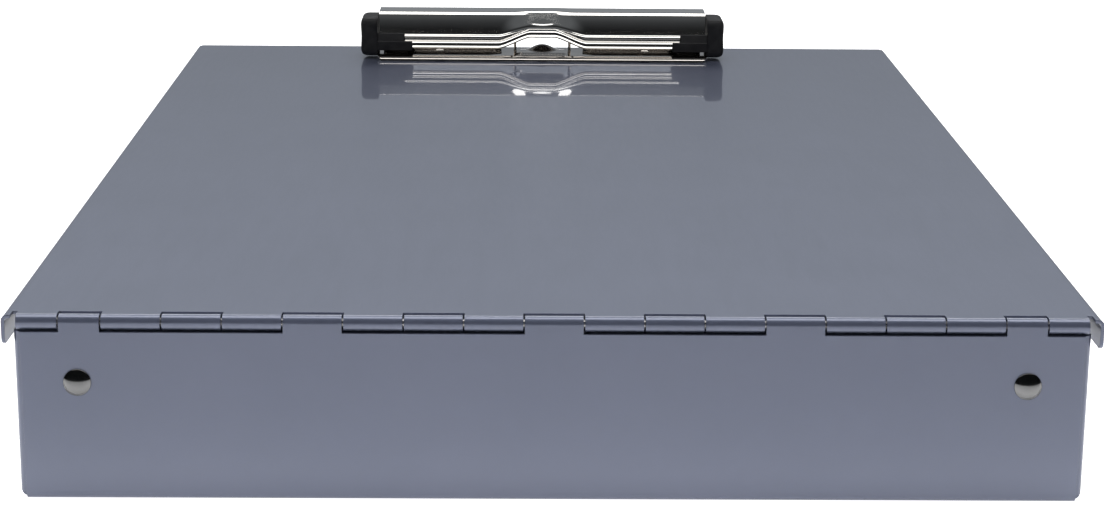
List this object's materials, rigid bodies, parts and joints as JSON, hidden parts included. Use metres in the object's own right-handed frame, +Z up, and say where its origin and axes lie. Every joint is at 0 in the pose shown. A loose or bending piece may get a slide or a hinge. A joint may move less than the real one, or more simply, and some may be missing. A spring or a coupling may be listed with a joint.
{
  "type": "storage clipboard",
  "caption": "Sheet aluminium storage clipboard: a hinged lid with a low spring clip over a shallow box, with a hinged divider tray between them.",
  "frame": {"origin": "centre of the bounding box, on the flat bottom of the storage tray", "axes": "+Z up through the lid, +Y from the hinge end to the clip end along the length, +X to the right seen from the hinge end"},
  "size_m": [0.239, 0.3382, 0.057],
  "materials": {
    "tray_aluminium": "satin, coated",
    "lid_aluminium": "satin, coated",
    "divider_aluminium": "satin, coated",
    "nickel_rivet": "satin nickel",
    "hinge_pin_steel": "drawn wire",
    "clip_chrome": "bright nickel plate",
    "washer_steel": "zinc plated",
    "spring_steel": "drawn spring wire",
    "jaw_rubber": "soft, matt"
  },
  "bodies": {
    "tray": {"storage_tray": "tray_aluminium", "tray_rivet_front_left": "nickel_rivet", "tray_rivet_front_right": "nickel_rivet", "tray_rivet_back_left": "nickel_rivet", "tray_rivet_back_right": "nickel_rivet", "hinge_pin": "hinge_pin_steel"},
    "divider": {"divider_tray": "divider_aluminium", "divider_rivets": "nickel_rivet"},
    "lid": {"lid": "lid_aluminium", "clip_base_plate": "clip_chrome", "clip_rivet_left": "nickel_rivet", "clip_rivet_right": "nickel_rivet", "clip_washer_left": "washer_steel", "clip_washer_right": "washer_steel", "clip_pivot_pin": "hinge_pin_steel", "clip_pin_clip_left": "washer_steel", "clip_pin_clip_right": "washer_steel", "clip_spring": "spring_steel"},
    "lever": {"clip_lever": "clip_chrome", "jaw_tip_left": "jaw_rubber", "jaw_tip_right": "jaw_rubber"}
  },
  "joints": [
    {"name": "lid_hinge", "type": "hinge", "parent": "tray", "child": "lid", "pos_m": [0, -0.1657, 0.0402], "axis": [1, 0, 0], "range_deg": [0, 180]},
    {"name": "divider_hinge", "type": "hinge", "parent": "tray", "child": "divider", "pos_m": [0, -0.1657, 0.0402], "axis": [1, 0, 0], "range_deg": [0, 90]},
    {"name": "clip_lever_pivot", "type": "hinge", "parent": "lid", "child": "lever", "pos_m": [0, 0.1534, 0.0507], "axis": [-1, 0, 0], "range_deg": [0, 35], "stiffness_Nm_per_rad": 0.15, "springref_deg": -34.38, "deforming": ["clip_spring"]}
  ],
  "couplings": [
    {"joint": "divider_hinge", "follows": "lid_hinge", "ratio": 0.5}
  ]
}
